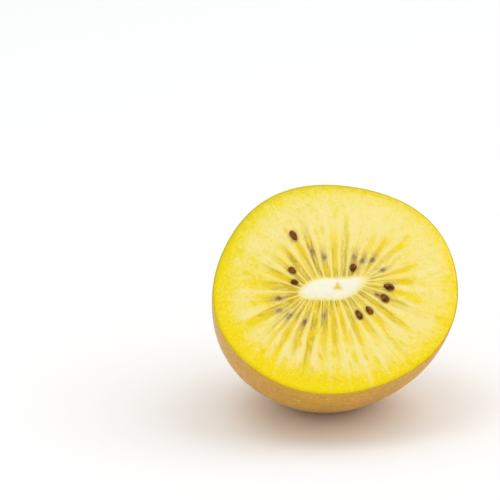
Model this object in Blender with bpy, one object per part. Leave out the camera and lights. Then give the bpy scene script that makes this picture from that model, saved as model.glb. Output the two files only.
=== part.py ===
"""Half of a golden kiwi fruit, cut across its middle.

The half is one grown piece: thin brown skin, yellow flesh with pale rays, a white core and dark seeds
that show in the cut. It lies on its skin, on a small flat spot, and its cut face leans back.
Units are metres. Local +Z is the outward normal of the cut face, local +X runs level across the face,
and the stem end is at local -Z.
"""

import cmath
import math

import bmesh
import bpy
import numpy as np
from mathutils import Matrix, Vector, noise

MILLIMETRE = 0.001
TURN = 2 * math.pi

# The fruit's own size
WIDE_RADIUS = 0.0274
NARROW_RADIUS = 0.02515
DEPTH = 0.0345
SHOULDER_POWER = 2.25
ROUNDNESS_POWER = 2.2
# How many lobes, and the shares of the radius that their cosine and sine add
LOBES = ((3, 0.003, -0.008), (4, 0.0025, 0.006), (5, -0.0065, 0.0055))

# How it lies
FACE_LEAN = math.radians(45)
SECTION_ROLL = math.radians(14)
FLAT_SPOT_DEPTH = 0.0005
CUT_TOLERANCE = 1e-7

# The cut face. A reach is a share of the way from the core's edge (0) to the skin (1).
# The core's corners: the bearing in degrees, then x and y in millimetres. Its outline goes straight from corner
# to corner, rounded off by keeping only that shape's first few waves.
CORE_CORNERS = (
    (0, 7.5, 1.45), (38, 5.2, 1.95), (128, -4.4, 1.85),
    (182, -8.2, -1.15), (216, -5.5, -2.4), (306, 2.2, -2.65),
)
CORE_WAVES = 3
CORE_WAVE_STEPS = 360
CORE_RISE = 0.0003
CORE_CROWN_POWER = 4
CORE_PIT_DEPTH = 0.0005
CORE_PIT_SHARE = 1 / 3
# The rays stand evenly round the axis, but those about one bearing are pushed on, and crowd those beyond it
RAYS = 32
RAY_START = math.radians(5)
RAY_PUSH = math.radians(13)
RAY_PUSH_BEARING = math.radians(179)
RAY_PUSH_SPREAD = math.radians(22)
RAY_RISE = 0.00018
RAY_START_LENGTH = 0.12
RAY_END = 0.78
RAY_FADE_LENGTH = 0.5
RAY_HALF_WIDTH = 0.25
CHAMBER_END = 0.54
CHAMBER_UNEVENNESS = 0.09
FLESH_CROWN = 0.0003
RIM_ROUNDING = 0.0005
RIM_ROUNDING_LENGTH = 1 / 12

# The stem end
HOLLOW_RADIUS = 0.0088
HOLLOW_DEPTH = 0.0011
HOLLOW_WALL_SHARE = 0.77
COLLAR_RADIUS = 0.0042
COLLAR_WIDTH = 0.0009
COLLAR_RISE = 0.0008
SCAR_DEPTH = 0.0010
SCAR_WALL_SHARE = 0.62

# The skin's slow, uneven swells
SWELL_SIZE = 0.016
SWELL_RISE = 0.0004
SWELL_FADE_SHARE = 0.5

# Seeds, in millimetres on the cut face: x, y, the bearing of the blunt end in degrees, length, width, and the
# share of the thickness that stands out of the flesh
SEED_THICKNESS = 0.0012
SEED_NARROWING = 0.25
SEEDS = (
    (-8.3, 12.6, 114, 2.7, 1.6, 0.62), (-9.2, 4.3, 145, 1.9, 1.5, 0.58), (-8.9, 1.5, 160, 1.7, 1.3, 0.56),
    (-4.4, 8.6, 105, 2.0, 1.2, 0.30), (-1.9, 7.3, 97, 2.3, 1.2, 0.30), (4.3, 4.4, 70, 1.9, 1.7, 0.60),
    (4.7, 7.0, 74, 2.2, 1.2, 0.28), (6.5, 6.0, 55, 1.8, 1.3, 0.28), (8.7, 6.1, 42, 1.8, 1.2, 0.24),
    (10.8, 3.6, 22, 2.0, 1.2, 0.24), (11.7, -0.6, -22, 2.4, 1.8, 0.60), (10.5, -3.2, -50, 2.4, 1.8, 0.60),
    (8.9, -2.3, -34, 1.7, 1.0, 0.49), (4.5, -6.9, -64, 2.5, 1.5, 0.58), (6.9, -6.0, -56, 2.2, 1.5, 0.58),
    (-12.8, -2.3, -170, 2.2, 1.4, 0.34), (-12.8, -5.2, -159, 1.9, 1.3, 0.25),
    (-10.8, -6.5, -135, 2.2, 1.5, 0.34), (-7.5, -8.1, -118, 2.6, 1.2, 0.25),
    (-3.2, -6.7, -106, 1.8, 1.2, 0.25),
)

# Mesh fineness
SEGMENTS_PER_RAY = 4
CORE_RINGS = 3
FLESH_RINGS = 9
SKIN_RINGS = 13
STEM_RINGS = 7
SEED_SUBDIVISIONS = 2
SHARP_ANGLE = math.radians(40)

# Colour, roughness
MATERIALS = {
    "skin": ((0.39, 0.22, 0.06), 0.55),
    "flesh": ((0.90, 0.70, 0.07), 0.35),
    "ray": ((0.93, 0.85, 0.45), 0.35),
    "chamber": ((0.80, 0.56, 0.03), 0.30),
    "core": ((0.93, 0.90, 0.70), 0.40),
    "seed": ((0.05, 0.015, 0.008), 0.25),
    "stem_scar": ((0.16, 0.08, 0.03), 0.80),
}
SLOTS = list(MATERIALS)

SEGMENTS = RAYS * SEGMENTS_PER_RAY
RIM_RING = CORE_RINGS + FLESH_RINGS
HOLLOW_RING = RIM_RING + SKIN_RINGS
SCAR_RING = HOLLOW_RING + STEM_RINGS // 2
RINGS = HOLLOW_RING + STEM_RINGS
GOLDEN_ANGLE = math.pi * (3 - math.sqrt(5))


def smooth(value):
    """0 below 0, 1 above 1, and a soft step between them."""
    value = min(max(value, 0.0), 1.0)
    return value * value * (3 - 2 * value)


def section_point(bearing):
    """The skin's outline in the cut plane, at a bearing round the axis."""
    lobes = 1 + sum(c * math.cos(n * bearing) + s * math.sin(n * bearing) for n, c, s in LOBES)
    across = Vector((WIDE_RADIUS * math.cos(bearing), NARROW_RADIUS * math.sin(bearing), 0))
    return Matrix.Rotation(SECTION_ROLL, 3, "Z") @ (across * lobes)


def core_waves():
    """The first waves of the straight-sided shape through the core's corners, as complex numbers x + iy."""
    bearings, x, y = np.array(CORE_CORNERS).T
    turns = np.linspace(0, TURN, CORE_WAVE_STEPS, endpoint=False)
    straight = np.interp(turns, np.radians(bearings), (x + 1j * y) * MILLIMETRE, period=TURN)
    orders = range(-CORE_WAVES, CORE_WAVES + 1)
    return {n: complex(np.mean(straight * np.exp(-1j * n * turns))) for n in orders}


CORE_OUTLINE = core_waves()


def core_point(bearing):
    """The core's outline, a long, blunt lens with flat sides."""
    point = sum(wave * cmath.exp(1j * n * bearing) for n, wave in CORE_OUTLINE.items())
    return Vector((point.real, point.imag, 0))


def core_middle():
    middle = CORE_OUTLINE[0]
    return Vector((middle.real, middle.imag, 0))


def bearing_at(place):
    """The bearing at a place, where whole numbers are rays and halves are the middles of the chambers."""
    even = TURN * place / RAYS
    push = RAY_PUSH * math.exp(-(((even - RAY_PUSH_BEARING) / RAY_PUSH_SPREAD) ** 2))
    return RAY_START + even + push


def flesh_height(reach, place):
    """How far the flesh stands out of the cut plane, from the core (0) to the rim (1)."""
    ray_strength = smooth(reach / RAY_START_LENGTH) * smooth((RAY_END - reach) / RAY_FADE_LENGTH)
    rays = RAY_RISE * math.cos(TURN * place) * ray_strength
    crown = FLESH_CROWN * math.sin(math.pi * smooth(reach))
    rounding = RIM_ROUNDING * smooth((reach - 1) / RIM_ROUNDING_LENGTH + 1)
    return rays + crown - rounding


def flesh_point(reach, place):
    """A point of the cut face between the core and the rim."""
    bearing = bearing_at(place)
    core, rim = core_point(bearing), section_point(bearing)
    point = core.lerp(rim, reach)
    point.z = flesh_height(reach, place)
    return point


def core_face_point(share, bearing):
    """A point on the core, from its middle (0) to its edge (1): a low crown with a pit in the middle."""
    point = core_middle().lerp(core_point(bearing), share)
    pit = CORE_PIT_DEPTH * smooth(1 - share / CORE_PIT_SHARE)
    point.z = CORE_RISE * (1 - share**CORE_CROWN_POWER) - pit
    return point


def dome_depth(radius_share):
    """Depth of the skin behind the cut, at a share of the section's radius."""
    return DEPTH * (1 - radius_share**ROUNDNESS_POWER) ** (1 / SHOULDER_POWER)


def skin_point(share, bearing):
    """A point on the skin, from the rim (0) to the edge of the stem hollow (1)."""
    last_angle = math.acos((HOLLOW_RADIUS / WIDE_RADIUS) ** (ROUNDNESS_POWER / 2))
    angle = share * last_angle
    radius_share = math.cos(angle) ** (2 / ROUNDNESS_POWER)
    point = section_point(bearing) * radius_share
    point.z = -RIM_ROUNDING - (DEPTH - RIM_ROUNDING) / DEPTH * dome_depth(radius_share)
    swell = SWELL_RISE * noise.noise(point / SWELL_SIZE) * smooth(share / SWELL_FADE_SHARE)
    return point + point.normalized() * swell


def stem_point(share, bearing):
    """A point in the stem hollow, from its edge (0) to its middle (1): a woody collar round a scar."""
    edge = skin_point(1, bearing)
    radius = HOLLOW_RADIUS * (1 - share)
    point = edge * (1 - share)
    flat_depth = -DEPTH + (edge.z + DEPTH) * (1 - share) ** ROUNDNESS_POWER
    hollow = HOLLOW_DEPTH * smooth(share / HOLLOW_WALL_SHARE)
    collar = COLLAR_RISE * math.exp(-(((radius - COLLAR_RADIUS) / COLLAR_WIDTH) ** 2))
    scar = SCAR_DEPTH * smooth((1 - radius / COLLAR_RADIUS) / SCAR_WALL_SHARE)
    point.z = flat_depth + hollow - collar + scar
    return point


def fruit_point(ring, place):
    """Where a ring and a place of the sphere go on the fruit."""
    if CORE_RINGS <= ring <= RIM_RING:
        return flesh_point((ring - CORE_RINGS) / FLESH_RINGS, place)
    bearing = bearing_at(place)
    if ring < CORE_RINGS:
        return core_face_point(ring / CORE_RINGS, bearing)
    if ring <= HOLLOW_RING:
        return skin_point((ring - RIM_RING) / SKIN_RINGS, bearing)
    return stem_point((ring - HOLLOW_RING) / STEM_RINGS, bearing)


def slot_of(ring, place):
    """The material of a face by where its middle is."""
    if ring < CORE_RINGS:
        return "core"
    if ring < RIM_RING:
        chamber = math.floor(place)
        on_ray = abs(place - chamber - 0.5) > 0.5 - RAY_HALF_WIDTH
        chamber_end = CHAMBER_END + CHAMBER_UNEVENNESS * math.sin(GOLDEN_ANGLE * chamber)
        if (ring - CORE_RINGS) / FLESH_RINGS > chamber_end:
            return "flesh"
        return "ray" if on_ray else "chamber"
    return "skin" if ring < SCAR_RING else "stem_scar"


def sphere_place(co):
    """The ring and the place of a point of the unit sphere, both as real numbers."""
    ring = math.acos(min(max(co.z, -1.0), 1.0)) / math.pi * RINGS
    return ring, math.atan2(co.y, co.x) % TURN / TURN * RAYS


def add_materials(mesh):
    for name, (colour, roughness) in MATERIALS.items():
        material = bpy.data.materials.get(name) or bpy.data.materials.new(name)
        material.use_nodes = True
        shader = material.node_tree.nodes["Principled BSDF"]
        shader.inputs["Base Color"].default_value = (*colour, 1)
        shader.inputs["Roughness"].default_value = roughness
        material.diffuse_color = (*colour, 1)
        mesh.materials.append(material)


def new_object(name, bm, collection):
    mesh = bpy.data.meshes.new(name)
    bm.to_mesh(mesh)
    bm.free()
    add_materials(mesh)
    obj = bpy.data.objects.new(name, mesh)
    collection.objects.link(obj)
    return obj


def make_fruit(collection):
    """The half fruit: a UV sphere whose front half is pressed into the cut face and whose back half is the
    skin, with the flat spot it lies on cut off."""
    bm = bmesh.new()
    bmesh.ops.create_uvsphere(bm, u_segments=SEGMENTS, v_segments=RINGS, radius=1)
    for face in bm.faces:
        ring, place = sphere_place(face.calc_center_median().normalized())
        face.material_index = SLOTS.index(slot_of(ring, place))
    for vert in bm.verts:
        ring, place = sphere_place(vert.co)
        vert.co = fruit_point(round(ring), place)

    down = Matrix.Rotation(FACE_LEAN, 3, "X").inverted() @ Vector((0, 0, -1))
    lowest = max((vert.co for vert in bm.verts), key=down.dot)
    cut = bmesh.ops.bisect_plane(
        bm,
        geom=bm.verts[:] + bm.edges[:] + bm.faces[:],
        dist=CUT_TOLERANCE,
        plane_co=down * (down.dot(lowest) - FLAT_SPOT_DEPTH),
        plane_no=down,
        clear_outer=True,
    )
    rim = [item for item in cut["geom_cut"] if isinstance(item, bmesh.types.BMEdge)]
    spot = bmesh.ops.edgeloop_fill(bm, edges=rim)["faces"]
    for face in spot:
        face.material_index = SLOTS.index("skin")
    bmesh.ops.recalc_face_normals(bm, faces=bm.faces[:])
    return new_object("golden_kiwi_half", bm, collection)


def face_height(x, y, fruit):
    """How high the cut face stands at a place on it."""
    front = (vert.co for vert in fruit.data.vertices if vert.co.z > -RIM_ROUNDING)
    return min(front, key=lambda co: (co.x - x) ** 2 + (co.y - y) ** 2).z


def make_seed(name, seed, fruit, collection):
    """A flattened drop that narrows away from its blunt end and is sunk into the flesh."""
    x, y, bearing, length, width, proud = seed
    x, y, length, width = (value * MILLIMETRE for value in (x, y, length, width))
    bm = bmesh.new()
    bmesh.ops.create_icosphere(bm, subdivisions=SEED_SUBDIVISIONS, radius=0.5)
    for vert in bm.verts:
        narrowing = 1 - SEED_NARROWING * smooth(0.5 - vert.co.x)
        vert.co = Vector((
            vert.co.x * length,
            vert.co.y * width * narrowing,
            vert.co.z * SEED_THICKNESS * narrowing,
        ))
    place = Vector((x, y, face_height(x, y, fruit) + SEED_THICKNESS * (proud - 0.5)))
    bm.transform(Matrix.Translation(place) @ Matrix.Rotation(math.radians(bearing), 4, "Z"))
    for face in bm.faces:
        face.material_index = SLOTS.index("seed")
    return new_object(name, bm, collection)


def join_seeds(fruit, seeds):
    """Unites the seeds with the flesh that they sit in, so that the half stays one solid."""
    union = fruit.modifiers.new("seeds", "BOOLEAN")
    union.operation = "UNION"
    union.operand_type = "COLLECTION"
    union.collection = seeds
    union.solver = "EXACT"
    bpy.context.view_layer.update()
    evaluated = fruit.evaluated_get(bpy.context.evaluated_depsgraph_get())
    joined = bpy.data.meshes.new_from_object(evaluated)
    fruit.modifiers.clear()
    fruit.data = joined
    for seed in list(seeds.objects):
        bpy.data.objects.remove(seed)
    bpy.data.collections.remove(seeds)


def lay_down(fruit):
    """Leans the cut face back and stands the flat spot on the ground, centred over the origin."""
    fruit.rotation_euler = (FACE_LEAN, 0, 0)
    bpy.context.view_layer.update()
    points = [fruit.matrix_world @ vert.co for vert in fruit.data.vertices]
    low = Vector(min(point[axis] for point in points) for axis in range(3))
    high = Vector(max(point[axis] for point in points) for axis in range(3))
    fruit.location = (-(low.x + high.x) / 2, -(low.y + high.y) / 2, -low.z)


def main():
    for obj in list(bpy.data.objects):
        bpy.data.objects.remove(obj)
    half = bpy.data.collections.new("golden_kiwi_fruit")
    seeds = bpy.data.collections.new("seeds")
    for collection in (half, seeds):
        bpy.context.scene.collection.children.link(collection)

    fruit = make_fruit(half)
    for number, seed in enumerate(SEEDS):
        make_seed(f"seed_{number:02d}", seed, fruit, seeds)
    join_seeds(fruit, seeds)
    fruit.data.shade_smooth()
    fruit.data.set_sharp_from_angle(angle=SHARP_ANGLE)
    lay_down(fruit)


main()
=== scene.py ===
import math
import random

import bmesh
import bpy
import numpy as np
from mathutils import Matrix, Vector, noise
from mathutils.kdtree import KDTree


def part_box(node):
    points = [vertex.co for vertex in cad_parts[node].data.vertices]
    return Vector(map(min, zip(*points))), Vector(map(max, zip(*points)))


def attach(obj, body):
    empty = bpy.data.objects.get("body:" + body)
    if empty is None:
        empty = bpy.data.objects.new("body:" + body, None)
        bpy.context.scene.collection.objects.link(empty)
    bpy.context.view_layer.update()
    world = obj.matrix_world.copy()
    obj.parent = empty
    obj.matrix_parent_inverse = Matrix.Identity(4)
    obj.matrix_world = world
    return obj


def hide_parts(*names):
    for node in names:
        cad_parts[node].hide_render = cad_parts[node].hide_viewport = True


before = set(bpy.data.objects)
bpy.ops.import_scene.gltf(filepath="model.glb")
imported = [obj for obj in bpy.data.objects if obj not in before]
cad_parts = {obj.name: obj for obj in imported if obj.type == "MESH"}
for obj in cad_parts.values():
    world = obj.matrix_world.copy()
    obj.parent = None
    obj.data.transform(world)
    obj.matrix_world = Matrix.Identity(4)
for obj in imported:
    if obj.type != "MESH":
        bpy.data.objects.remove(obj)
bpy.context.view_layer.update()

# The looks of half a golden kiwi fruit. Units are metres. Shapes are made in the fruit's own frame, where
# +Z is the outward normal of the cut face and +X runs level across it, and are laid down at the end.
NODE = "golden_kiwi_half"
MILLIMETRE = 0.001
TURN = 2 * math.pi

# The fruit's own size
WIDE_RADIUS = 0.0274
NARROW_RADIUS = 0.02515
DEPTH = 0.0345
SHOULDER_POWER = 2.25
ROUNDNESS_POWER = 2.2
# How many lobes, and the shares of the radius that their cosine and sine add
LOBES = ((3, 0.003, -0.008), (4, 0.0025, 0.006), (5, -0.0065, 0.0055))
SKIN_THICKNESS = 0.00013
# The skin's lip at the cut, from within: how far inside the outline and how deep under the cut
LIP = ((0.00014, 0.0030), (0.00014, 0.0012), (0.00012, 0.00030), (0.00005, 0.00025))
LIP_RAGGED = 0.00004
LIP_RAGGED_DEPTH = 0.001

# How it lies
FACE_LEAN = math.radians(45)
SECTION_ROLL = math.radians(14)

# The cut face. A reach is a share of the way from the core's edge (0) to the skin (1).
# The core's corners: the bearing in degrees, then x and y in millimetres. Its outline goes straight from
# corner to corner, rounded off by keeping only that shape's first few waves.
CORE_CORNERS = (
    (0, 7.5, 1.45), (38, 5.2, 1.95), (128, -4.4, 1.85),
    (182, -8.2, -1.15), (216, -5.5, -2.4), (306, 2.2, -2.65),
)
CORE_WAVES = 3
CORE_WAVE_STEPS = 360
CORE_RISE = 0.00022
CORE_CROWN_POWER = 4
CORE_PIT_DEPTH = 0.00004
# The rays stand evenly round the axis, but those about one bearing are pushed on, and crowd those beyond it.
# That is where they lie at RAY_MEASURE_REACH. Their bearings swing on the straight way from the rim to the
# core.
RAYS = 32
RAY_START = math.radians(5)
RAY_PUSH = math.radians(13)
RAY_PUSH_BEARING = math.radians(179)
RAY_PUSH_SPREAD = math.radians(22)
RAY_MEASURE_REACH = 0.30
RAY_DRIFT = math.radians(10)
RAY_DRIFT_SWING = math.radians(15.5)
RAY_DRIFT_BEARING = math.radians(125)
RAY_DRIFT_STEPS = 5
FLESH_CROWN = 0.0003
RIM_ROUNDING = 0.00028
RIM_ROUNDING_LENGTH = 1 / 32
CHAMBER_END = 0.51
SPOTS = 170
# Where the chambers are darker: the bearing and the spread in degrees, and how much darker
DEEP_SECTORS = ((135, 24, 1.5), (255, 28, 0.75), (55, 26, 0.45), (318, 16, 0.15))
FLOW_STRETCH = 0.28

# The stem end
HOLLOW_RADIUS = 0.0088
HOLLOW_DEPTH = 0.0011
HOLLOW_WALL_SHARE = 0.77
COLLAR_RADIUS = 0.0042
COLLAR_WIDTH = 0.0009
COLLAR_RISE = 0.0008
SCAR_DEPTH = 0.0010
SCAR_WALL_SHARE = 0.62
# The scar's own piece, as shares of the collar's radius: its outer edge, its middle, and its edge's fade
SCAR_EDGE = 1.22
SCAR_MIDDLE = 0.04
SCAR_EDGE_FADE = 0.10

# The skin's slow, uneven swells
SWELL_SIZE = 0.016
SWELL_RISE = 0.0004
SWELL_FADE_SHARE = 0.5

# Seeds, in millimetres on the cut face: x, y, the bearing of the blunt end in degrees, length, width, and the
# share of the thickness that stands out of the flesh
SEED_THICKNESS = 0.0013
SEED_NARROWING = 0.25
SEEDS = (
    (-8.3, 12.6, 114, 2.7, 1.6, 0.62), (-9.2, 4.3, 145, 1.9, 1.5, 0.58), (-8.9, 1.5, 160, 1.7, 1.3, 0.56),
    (-4.4, 8.6, 105, 2.0, 1.2, 0.30), (-1.9, 7.3, 97, 2.3, 1.2, 0.30), (4.3, 4.4, 70, 1.9, 1.7, 0.60),
    (4.7, 7.0, 74, 2.2, 1.2, 0.28), (6.5, 6.0, 55, 1.8, 1.3, 0.28), (8.7, 6.1, 42, 1.8, 1.2, 0.24),
    (10.8, 3.6, 22, 2.0, 1.2, 0.24), (11.7, -0.6, -22, 2.4, 1.8, 0.60), (10.5, -3.2, -50, 2.4, 1.8, 0.60),
    (8.9, -2.3, -34, 1.7, 1.0, 0.49), (4.5, -6.9, -64, 2.5, 1.5, 0.58), (6.9, -6.0, -56, 2.2, 1.5, 0.58),
    (-12.8, -2.3, -170, 2.2, 1.4, 0.34), (-12.8, -5.2, -159, 1.9, 1.3, 0.25),
    (-10.8, -6.5, -135, 2.2, 1.5, 0.34), (-7.5, -8.1, -118, 2.6, 1.2, 0.25),
    (-3.2, -6.7, -106, 1.8, 1.2, 0.25),
)
PROUD_SHARE = 0.5

# The picture's view: its frame in pixels and metres, how the camera stands, and the pixel of the cut face's
# middle
FRAME_PIXELS = 500
FRAME_WIDTH = 0.10965
CAMERA_AZIMUTH = math.radians(-6)
CAMERA_ELEVATION = math.radians(20)
FACE_PIXEL = (335.6, 287.0)
CAMERA_DISTANCE = 0.6
SENSOR_WIDTH = 36
CLIP_START = 0.01
CLIP_END = 20

# The floor and the light. A light has a name, a place, a width and a power.
FLOOR_RADIUS = 4
FLOOR_SIDES = 64
FLOOR_DROP = 0.00003
FLOOR_COLOUR = (0.955, 0.96, 0.965, 1)
SKY_STRENGTH = 0.80
LIGHTS = (("key", (-0.26, -0.05, 0.88), 0.50, 1.1), ("top", (0.60, 0.05, 0.80), 1.20, 2.6))
LIGHT_TARGET = (0, 0, 0.02)

# Golden and yellow-green marks in the flesh: the pixels of their two ends, their width in pixels, how golden,
# and how strong
MARKS = (
    (376, 255, 386, 240, 5, 0.9, 0.7), (392, 264.5, 401, 257, 5, 0.6, 0.9),
    (393, 273, 417.5, 266, 5, 0.6, 0.8), (397.5, 282, 414, 283, 6.5, 1.0, 1.0),
    (406.5, 238, 411, 237, 5, 0.0, 0.6), (406.5, 255, 410, 256, 4, 0.0, 0.5),
    (391.5, 294, 396, 299.5, 4, 0.9, 0.6), (365, 251.5, 368, 248, 4, 0.8, 0.6),
    (353, 246, 354, 253.5, 3, 0.9, 0.5), (264.5, 299.5, 271.5, 304, 5.5, 1.0, 0.9),
    (261.5, 314, 272.5, 312, 6, 0.8, 0.8), (250.5, 302, 256, 304.5, 4, 0.1, 0.8),
    (248, 323, 252.5, 325, 4, 0.4, 0.8), (257.5, 334.5, 259, 335.5, 3.5, 0.1, 0.7),
    (266, 332, 271.5, 328.5, 5, 0.0, 0.7), (275.5, 318.5, 279, 324, 4, 1.0, 0.6),
    (282.5, 334.5, 290, 329, 5, 1.0, 0.8), (297.5, 336, 300, 347, 4, 1.0, 0.8),
    (274.5, 343, 275.5, 351.5, 3, 0.0, 0.9), (262.5, 349.5, 264, 351.5, 4, 0.4, 0.7),
    (283.5, 356, 286.5, 359.5, 4, 0.0, 0.9), (307.5, 338.5, 311, 345, 3, 0.1, 0.6),
    (317.5, 351.5, 321, 358, 4, 0.8, 0.9), (311, 366, 312.5, 371.5, 4, 0.8, 0.6),
    (329.5, 351.5, 335, 356, 4, 0.1, 0.8), (329.5, 374.5, 336, 378, 4, 0.6, 0.7),
    (305, 302, 306.5, 305, 4, 1.0, 0.7), (313.5, 305, 315.5, 308, 4, 1.0, 0.7),
    (324.5, 303, 326.5, 307.5, 4, 1.0, 0.6), (296.5, 241, 308, 258.5, 6, 1.0, 0.8),
    (284.5, 228.5, 288, 232, 4, 0.7, 0.6), (264, 251, 266.5, 254.5, 6, 0.1, 0.8),
    (274.5, 258.5, 287.5, 268, 5, 0.8, 0.7), (272, 274, 290, 281, 6, 0.9, 0.8),
    (261, 282.5, 278.5, 287, 6, 0.8, 0.7), (254, 278, 256, 288, 4, 0.2, 0.5),
    (281, 245.5, 285.5, 250, 4, 0.0, 0.5), (308, 236.5, 310, 245.5, 5, 0.8, 0.6),
    (295.5, 258.5, 313.5, 279, 5, 0.9, 0.6), (256.5, 265.5, 257.5, 267.5, 4, 0.1, 0.5),
    (302.5, 226, 304.5, 227.5, 4, 0.1, 0.5), (322.5, 226, 324, 234, 4, 0.7, 0.5),
    (326, 267.5, 328, 273.5, 5, 0.9, 0.6), (339, 309, 343.5, 334, 3, 1.0, 0.6),
    (332, 309, 333.5, 341.5, 3.5, 1.0, 0.6), (354.5, 328, 356, 332.5, 3, 0.1, 0.8),
    (357, 337, 360.5, 344, 4, 0.9, 0.8), (363.5, 354, 366, 358.5, 4, 0.3, 0.9),
    (377, 321.5, 388.5, 337, 2.5, 0.9, 0.8), (385, 336, 392, 340.5, 3.5, 0.1, 0.9),
    (373, 344, 376, 344, 3, 0.0, 0.7), (380.5, 310, 392, 319, 3.5, 0.6, 0.8),
    (396.5, 324.5, 401, 327, 3, 0.2, 0.8), (362.5, 320.5, 366, 329, 4, 0.8, 0.6),
    (390.5, 304.5, 397.5, 308, 3, 0.9, 0.7), (406.5, 362, 411, 363, 4, 0.5, 0.7),
    (372.5, 371, 376, 372, 4, 0.4, 0.8), (345.5, 349.5, 347, 351.5, 3, 0.1, 0.6),
)
MARK_OVERRUN = 0.0005

# Mesh fineness
FACE_SEGMENTS = 816
CORE_RINGS = 12
FLESH_RINGS = 96
BACK_RINGS = 10
SKIN_SEGMENTS = 640
SKIN_RINGS = 118
STEM_RINGS = 22
SCAR_SEGMENTS = 360
SCAR_RINGS = 60


# Numbers and noise

def smooth(value):
    """0 below 0, 1 above 1, and a soft step between them."""
    value = np.clip(value, 0.0, 1.0)
    return value * value * (3 - 2 * value)


def lattice_noise(u, v, seed, around=256, rows=256):
    """Smooth noise from -1 to 1 over unit cells of (u, v). It repeats after around cells of u."""
    table = np.random.default_rng(seed).uniform(-1, 1, (around, rows))
    left, low = np.floor(u).astype(int), np.floor(v).astype(int)
    s, t = smooth(u - left), smooth(v - low)
    near, far = left % around, (left + 1) % around
    down, up = low % rows, (low + 1) % rows
    below = table[near, down] * (1 - s) + table[far, down] * s
    above = table[near, up] * (1 - s) + table[far, up] * s
    return below * (1 - t) + above * t


def cloudy(u, v, seed, around=256, octaves=3):
    """Several octaves of lattice noise, each twice as fine and half as strong."""
    total = 0
    for octave in range(octaves):
        fine = 2**octave
        total = total + lattice_noise(u * fine, v * fine, seed + octave, around * fine) / fine
    return total / (2 - 2 / 2**octaves)


def turned(x, y, angle):
    cosine, sine = math.cos(angle), math.sin(angle)
    return np.stack([cosine * x - sine * y, sine * x + cosine * y], -1)


# The fruit's form, for arrays of bearings

def section(bearing):
    """The skin's outline in the cut plane, at a bearing round the axis."""
    lobes = 1 + sum(c * np.cos(n * bearing) + s * np.sin(n * bearing) for n, c, s in LOBES)
    x = WIDE_RADIUS * np.cos(bearing) * lobes
    y = NARROW_RADIUS * np.sin(bearing) * lobes
    return turned(x, y, SECTION_ROLL)


def core_waves():
    """The first waves of the straight-sided shape through the core's corners, as complex numbers x + iy."""
    bearings, x, y = np.array(CORE_CORNERS).T
    turns = np.linspace(0, TURN, CORE_WAVE_STEPS, endpoint=False)
    straight = np.interp(turns, np.radians(bearings), (x + 1j * y) * MILLIMETRE, period=TURN)
    orders = range(-CORE_WAVES, CORE_WAVES + 1)
    return {n: np.mean(straight * np.exp(-1j * n * turns)) for n in orders}


CORE_OUTLINE = core_waves()


def core_edge(bearing):
    """The core's outline, a long, blunt lens with flat sides."""
    points = sum(wave * np.exp(1j * n * bearing) for n, wave in CORE_OUTLINE.items())
    return np.stack([points.real, points.imag], -1)


def core_middle():
    return np.array([CORE_OUTLINE[0].real, CORE_OUTLINE[0].imag])


def ray_bearing(ray):
    """The bearing of a ray, at RAY_MEASURE_REACH."""
    even = TURN * ray / RAYS
    return RAY_START + even + RAY_PUSH * np.exp(-(((even - RAY_PUSH_BEARING) / RAY_PUSH_SPREAD) ** 2))


def flesh_plan(reach, bearing):
    """Where a reach and a bearing are in the cut plane, between the core and the inside of the skin."""
    rim = section(bearing)
    rim = rim * (1 - SKIN_THICKNESS / np.linalg.norm(rim, axis=-1, keepdims=True))
    core = core_edge(bearing)
    return core + (rim - core) * reach[..., None]


def skin_surface(share, bearing):
    """Points on the skin, from the rim (0) to the edge of the stem hollow (1)."""
    last_angle = math.acos((HOLLOW_RADIUS / WIDE_RADIUS) ** (ROUNDNESS_POWER / 2))
    radius_share = np.cos(share * last_angle) ** (2 / ROUNDNESS_POWER)
    depth = DEPTH * (1 - radius_share**ROUNDNESS_POWER) ** (1 / SHOULDER_POWER)
    plan = section(bearing) * radius_share[..., None]
    drop = -RIM_ROUNDING - (DEPTH - RIM_ROUNDING) / DEPTH * depth
    points = np.concatenate([plan, drop[..., None]], -1)
    flat = points.reshape(-1, 3)
    swells = np.array([noise.noise(Vector(p) / SWELL_SIZE) for p in flat]).reshape(share.shape)
    swells = SWELL_RISE * swells * smooth(share / SWELL_FADE_SHARE)
    return points + points / np.linalg.norm(points, axis=-1, keepdims=True) * swells[..., None]


def stem_surface(share, bearing):
    """Points in the stem hollow, from its edge (0) to its middle (1): a woody collar round a scar."""
    edge = skin_surface(np.ones_like(bearing), bearing)
    left = 1 - share
    radius = HOLLOW_RADIUS * left
    points = edge * left[..., None]
    flat_depth = -DEPTH + (edge[..., 2] + DEPTH) * left**ROUNDNESS_POWER
    hollow = HOLLOW_DEPTH * smooth(share / HOLLOW_WALL_SHARE)
    collar = COLLAR_RISE * np.exp(-(((radius - COLLAR_RADIUS) / COLLAR_WIDTH) ** 2))
    scar = SCAR_DEPTH * smooth((1 - radius / COLLAR_RADIUS) / SCAR_WALL_SHARE)
    points[..., 2] = flat_depth + hollow - collar + scar
    return points


# Meshes

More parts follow.
